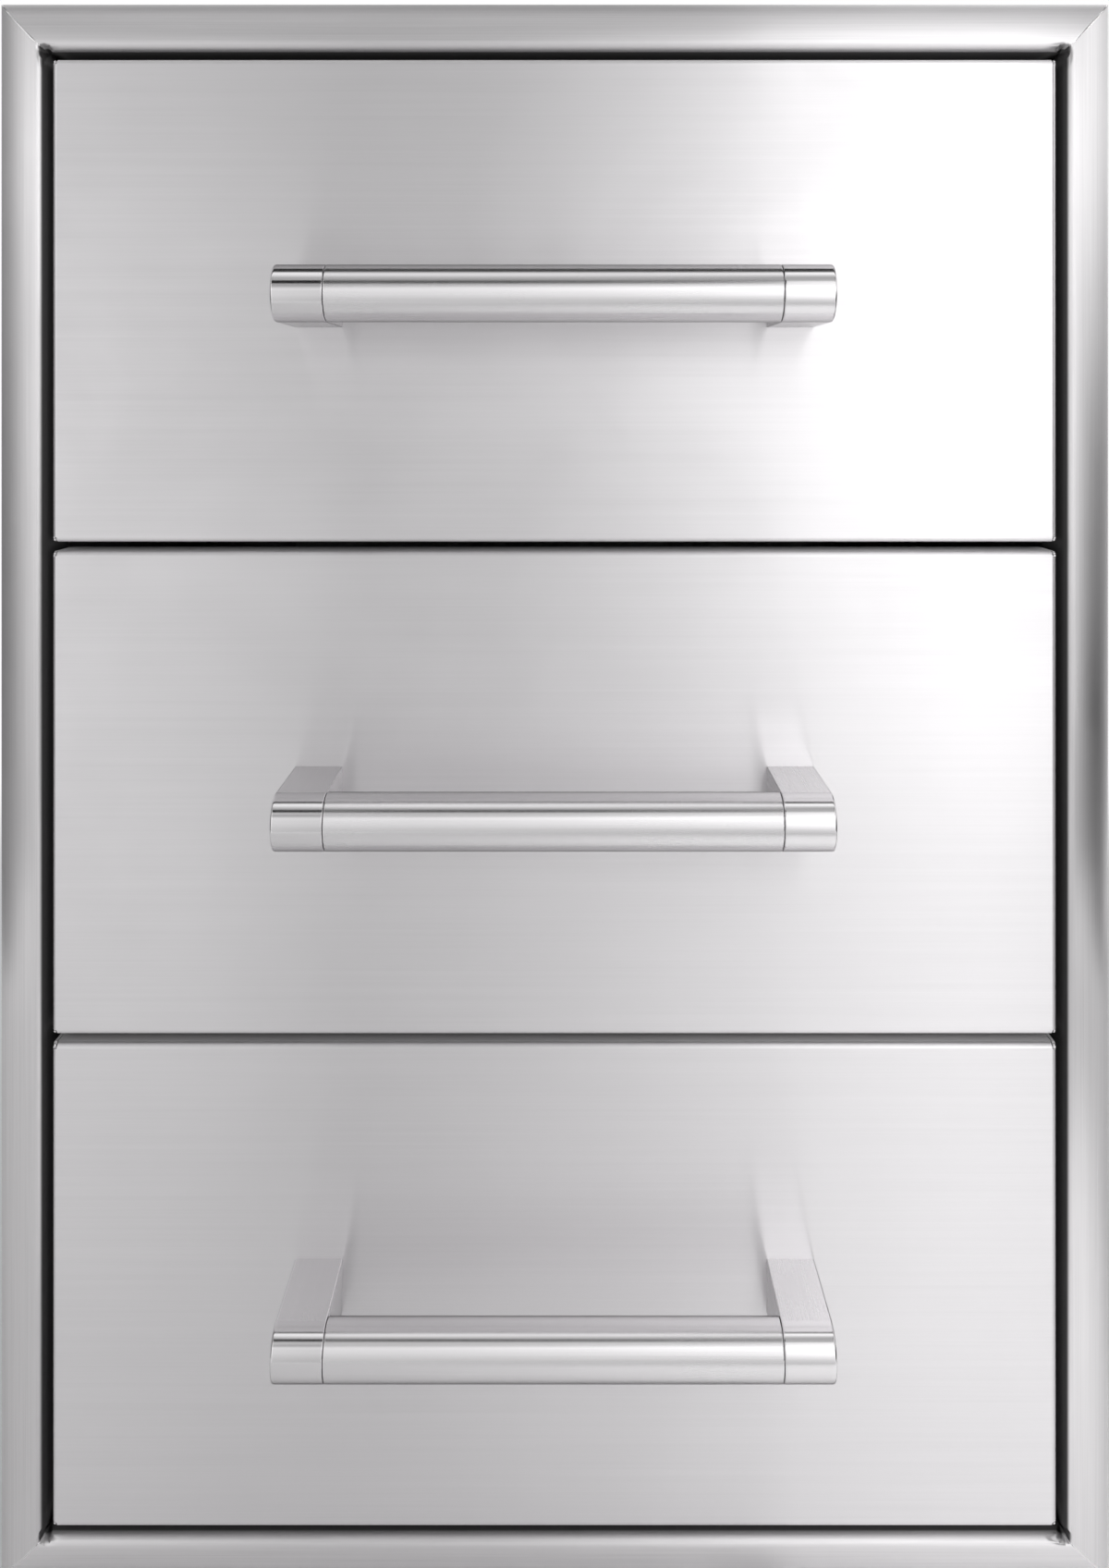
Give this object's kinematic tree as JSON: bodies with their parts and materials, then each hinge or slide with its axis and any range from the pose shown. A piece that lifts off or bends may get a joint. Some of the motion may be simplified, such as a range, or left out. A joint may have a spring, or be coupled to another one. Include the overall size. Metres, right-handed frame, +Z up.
{
  "type": "outdoor kitchen drawer unit",
  "caption": "Built-in stainless drawer unit: inset drawers with round-bar handles in a mitred bullnose trim, on full-extension ball slides.",
  "frame": {"origin": "middle of the flat rear lip of the bottom trim rail, on the face of the wall", "axes": "+X to the right seen from the front, +Y into the wall, +Z up"},
  "size_m": [0.463, 0.5683, 0.654],
  "materials": {
    "trim_steel": "stainless, brushed along each rail",
    "front_steel": "stainless, brushed from side to side",
    "bar_steel": "stainless, fine satin along the bar",
    "bracket_steel": "stainless, near polished",
    "cabinet_steel": "stainless sheet, mill finish",
    "tray_steel": "stainless sheet, mill finish",
    "slide_zinc": "bright zinc plate",
    "cage_steel": "plain strip with bright balls"
  },
  "bodies": {
    "cabinet": {"trim_bottom": "trim_steel", "trim_left": "trim_steel", "trim_top": "trim_steel", "trim_right": "trim_steel", "side_panel_right": "cabinet_steel", "side_panel_left": "cabinet_steel", "top_panel": "cabinet_steel", "bottom_panel": "cabinet_steel", "back_panel": "cabinet_steel", "top_left_slide_outer_member": "slide_zinc", "top_right_slide_outer_member": "slide_zinc", "middle_left_slide_outer_member": "slide_zinc", "middle_right_slide_outer_member": "slide_zinc", "bottom_left_slide_outer_member": "slide_zinc", "bottom_right_slide_outer_member": "slide_zinc"},
    "top_drawer": {"top_drawer_front": "front_steel", "top_drawer_liner": "cabinet_steel", "top_drawer_tray": "tray_steel", "top_handle_bar": "bar_steel", "top_handle_bracket_left": "bracket_steel", "top_handle_bracket_right": "bracket_steel", "top_handle_stud_plate": "slide_zinc", "top_left_slide_inner_member": "slide_zinc", "top_right_slide_inner_member": "slide_zinc"},
    "top_slide_middles": {"top_left_slide_middle_member": "slide_zinc", "top_right_slide_middle_member": "slide_zinc"},
    "top_outer_cages": {"top_left_slide_outer_cage": "cage_steel", "top_right_slide_outer_cage": "cage_steel"},
    "top_inner_cages": {"top_left_slide_inner_cage": "cage_steel", "top_right_slide_inner_cage": "cage_steel"},
    "middle_drawer": {"middle_drawer_front": "front_steel", "middle_drawer_liner": "cabinet_steel", "middle_drawer_tray": "tray_steel", "middle_handle_bar": "bar_steel", "middle_handle_bracket_left": "bracket_steel", "middle_handle_bracket_right": "bracket_steel", "middle_handle_stud_plate": "slide_zinc", "middle_left_slide_inner_member": "slide_zinc", "middle_right_slide_inner_member": "slide_zinc"},
    "middle_slide_middles": {"middle_left_slide_middle_member": "slide_zinc", "middle_right_slide_middle_member": "slide_zinc"},
    "middle_outer_cages": {"middle_left_slide_outer_cage": "cage_steel", "middle_right_slide_outer_cage": "cage_steel"},
    "middle_inner_cages": {"middle_left_slide_inner_cage": "cage_steel", "middle_right_slide_inner_cage": "cage_steel"},
    "bottom_drawer": {"bottom_drawer_front": "front_steel", "bottom_drawer_liner": "cabinet_steel", "bottom_drawer_tray": "tray_steel", "bottom_handle_bar": "bar_steel", "bottom_handle_bracket_left": "bracket_steel", "bottom_handle_bracket_right": "bracket_steel", "bottom_handle_stud_plate": "slide_zinc", "bottom_left_slide_inner_member": "slide_zinc", "bottom_right_slide_inner_member": "slide_zinc"},
    "bottom_slide_middles": {"bottom_left_slide_middle_member": "slide_zinc", "bottom_right_slide_middle_member": "slide_zinc"},
    "bottom_outer_cages": {"bottom_left_slide_outer_cage": "cage_steel", "bottom_right_slide_outer_cage": "cage_steel"},
    "bottom_inner_cages": {"bottom_left_slide_inner_cage": "cage_steel", "bottom_right_slide_inner_cage": "cage_steel"}
  },
  "joints": [
    {"name": "top_drawer_slide", "type": "slide", "parent": "cabinet", "child": "top_drawer", "axis": [0, -1, 0], "range_m": [0, 0.45]},
    {"name": "top_slide_middles_travel", "type": "slide", "parent": "cabinet", "child": "top_slide_middles", "axis": [0, -1, 0], "range_m": [0, 0.225]},
    {"name": "top_outer_cages_travel", "type": "slide", "parent": "cabinet", "child": "top_outer_cages", "axis": [0, -1, 0], "range_m": [0, 0.1125]},
    {"name": "top_inner_cages_travel", "type": "slide", "parent": "cabinet", "child": "top_inner_cages", "axis": [0, -1, 0], "range_m": [0, 0.3375]},
    {"name": "middle_drawer_slide", "type": "slide", "parent": "cabinet", "child": "middle_drawer", "axis": [0, -1, 0], "range_m": [0, 0.45]},
    {"name": "middle_slide_middles_travel", "type": "slide", "parent": "cabinet", "child": "middle_slide_middles", "axis": [0, -1, 0], "range_m": [0, 0.225]},
    {"name": "middle_outer_cages_travel", "type": "slide", "parent": "cabinet", "child": "middle_outer_cages", "axis": [0, -1, 0], "range_m": [0, 0.1125]},
    {"name": "middle_inner_cages_travel", "type": "slide", "parent": "cabinet", "child": "middle_inner_cages", "axis": [0, -1, 0], "range_m": [0, 0.3375]},
    {"name": "bottom_drawer_slide", "type": "slide", "parent": "cabinet", "child": "bottom_drawer", "axis": [0, -1, 0], "range_m": [0, 0.45]},
    {"name": "bottom_slide_middles_travel", "type": "slide", "parent": "cabinet", "child": "bottom_slide_middles", "axis": [0, -1, 0], "range_m": [0, 0.225]},
    {"name": "bottom_outer_cages_travel", "type": "slide", "parent": "cabinet", "child": "bottom_outer_cages", "axis": [0, -1, 0], "range_m": [0, 0.1125]},
    {"name": "bottom_inner_cages_travel", "type": "slide", "parent": "cabinet", "child": "bottom_inner_cages", "axis": [0, -1, 0], "range_m": [0, 0.3375]}
  ],
  "couplings": [
    {"joint": "top_slide_middles_travel", "follows": "top_drawer_slide", "ratio": 0.5},
    {"joint": "top_outer_cages_travel", "follows": "top_drawer_slide", "ratio": 0.25},
    {"joint": "top_inner_cages_travel", "follows": "top_drawer_slide", "ratio": 0.75},
    {"joint": "middle_slide_middles_travel", "follows": "middle_drawer_slide", "ratio": 0.5},
    {"joint": "middle_outer_cages_travel", "follows": "middle_drawer_slide", "ratio": 0.25},
    {"joint": "middle_inner_cages_travel", "follows": "middle_drawer_slide", "ratio": 0.75},
    {"joint": "bottom_slide_middles_travel", "follows": "bottom_drawer_slide", "ratio": 0.5},
    {"joint": "bottom_outer_cages_travel", "follows": "bottom_drawer_slide", "ratio": 0.25},
    {"joint": "bottom_inner_cages_travel", "follows": "bottom_drawer_slide", "ratio": 0.75}
  ]
}
